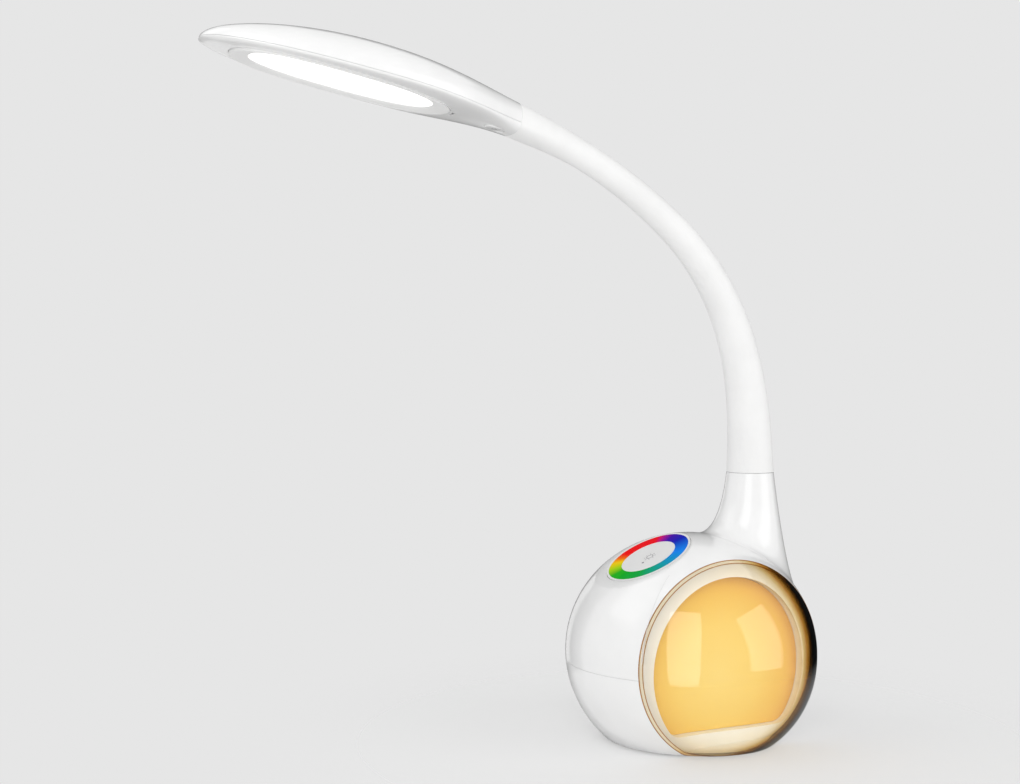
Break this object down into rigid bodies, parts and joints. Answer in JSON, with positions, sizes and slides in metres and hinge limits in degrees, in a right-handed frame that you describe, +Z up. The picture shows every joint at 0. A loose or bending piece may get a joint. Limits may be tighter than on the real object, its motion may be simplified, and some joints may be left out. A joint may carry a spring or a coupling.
{
  "type": "gooseneck desk lamp",
  "caption": "Gooseneck LED desk lamp: ball base with amber mood light behind a clear dome, colour-ring touch panel, tapered flexible neck and long oval head.",
  "frame": {"origin": "on the desk, under the centre of the ball: the centre of the rubber pad's underside", "axes": "+Z up; the head reaches towards -X; the mood light faces -Y"},
  "size_m": [0.3238, 0.13, 0.345],
  "materials": {
    "white_gloss": "glossy white",
    "white_satin": "satin white",
    "white_silicone": "matte white silicone",
    "dark_plastic": "dark, plain",
    "black_rubber": "black, soft",
    "iron": "raw casting",
    "steel": "plain steel",
    "green_board": "circuit board",
    "black_parts": "black moulded",
    "pin_metal": "bright",
    "clear_amber": "clear, warm tint",
    "amber": "glossy amber",
    "white_board": "white circuit board",
    "led_phosphor": "yellow phosphor",
    "wire": "insulated wire",
    "colour_band": "printed colour wheel, one hue after another",
    "cast_metal": "turned or cast",
    "lamp_glow": "white diffuser"
  },
  "bodies": {
    "base": {"lower_shell": "white_gloss", "upper_shell": "white_gloss", "base_plate": "dark_plastic", "rubber_pad": "black_rubber", "base_screws": "steel", "shell_screws": "steel", "ballast_weight": "iron", "control_board": "green_board", "control_parts": "black_parts", "board_screws": "steel", "power_inlet": "black_parts", "inlet_pin": "pin_metal", "mood_dome": "clear_amber", "mood_diffuser": "amber", "light_tray": "white_satin", "mood_led_board": "white_board", "mood_leds": "led_phosphor", "mood_lead": "wire", "touch_panel": "white_satin", "colour_ring": "colour_band", "touch_board": "green_board", "touch_lead": "wire", "neck_socket": "cast_metal", "neck_nut": "cast_metal", "base_lead": "wire", "sleeve_0": "white_silicone", "core_0": "steel", "lead_0": "wire"},
    "neck_1": {"sleeve_1": "white_silicone", "core_1": "steel", "lead_1": "wire"},
    "neck_2": {"sleeve_2": "white_silicone", "core_2": "steel", "lead_2": "wire"},
    "neck_3": {"sleeve_3": "white_silicone", "core_3": "steel", "lead_3": "wire"},
    "neck_4": {"sleeve_4": "white_silicone", "core_4": "steel", "lead_4": "wire"},
    "head": {"sleeve_5": "white_silicone", "core_5": "steel", "lead_5": "wire", "upper_ferrule": "cast_metal", "bracket_screw": "steel", "head_top_shell": "white_gloss", "head_bottom_cover": "white_satin", "light_frame": "white_satin", "light_diffuser": "lamp_glow", "head_reflector": "white_satin", "head_led_board": "white_board", "head_leds": "led_phosphor", "heat_spreader": "cast_metal", "spreader_screws": "steel", "head_lead": "wire", "button_board": "green_board", "button_switch": "black_parts"},
    "button": {"head_button": "white_gloss"}
  },
  "joints": [
    {"name": "neck_bend_low", "type": "hinge", "parent": "base", "child": "neck_1", "pos_m": [0.037, 0, 0.16438], "axis": [0, -1, 0], "range_deg": [-25, 25]},
    {"name": "neck_side_low", "type": "hinge", "parent": "neck_1", "child": "neck_2", "pos_m": [0.02907, 0, 0.20552], "axis": [0.9473, 0, 0.3203], "range_deg": [-28, 28]},
    {"name": "neck_bend_mid", "type": "hinge", "parent": "neck_2", "child": "neck_3", "pos_m": [0.00938, 0, 0.2424], "axis": [0, -1, 0], "range_deg": [-25, 25]},
    {"name": "neck_side_high", "type": "hinge", "parent": "neck_3", "child": "neck_4", "pos_m": [-0.02096, 0, 0.27123], "axis": [0.5965, 0, 0.8026], "range_deg": [-28, 28]},
    {"name": "neck_bend_high", "type": "hinge", "parent": "neck_4", "child": "head", "pos_m": [-0.05655, 0, 0.29345], "axis": [0, -1, 0], "range_deg": [-25, 25]},
    {"name": "button_press", "type": "slide", "parent": "head", "child": "button", "axis": [0.1771, 0, 0.9842], "range_m": [0, 0.0006], "stiffness_N_per_m": 400}
  ]
}
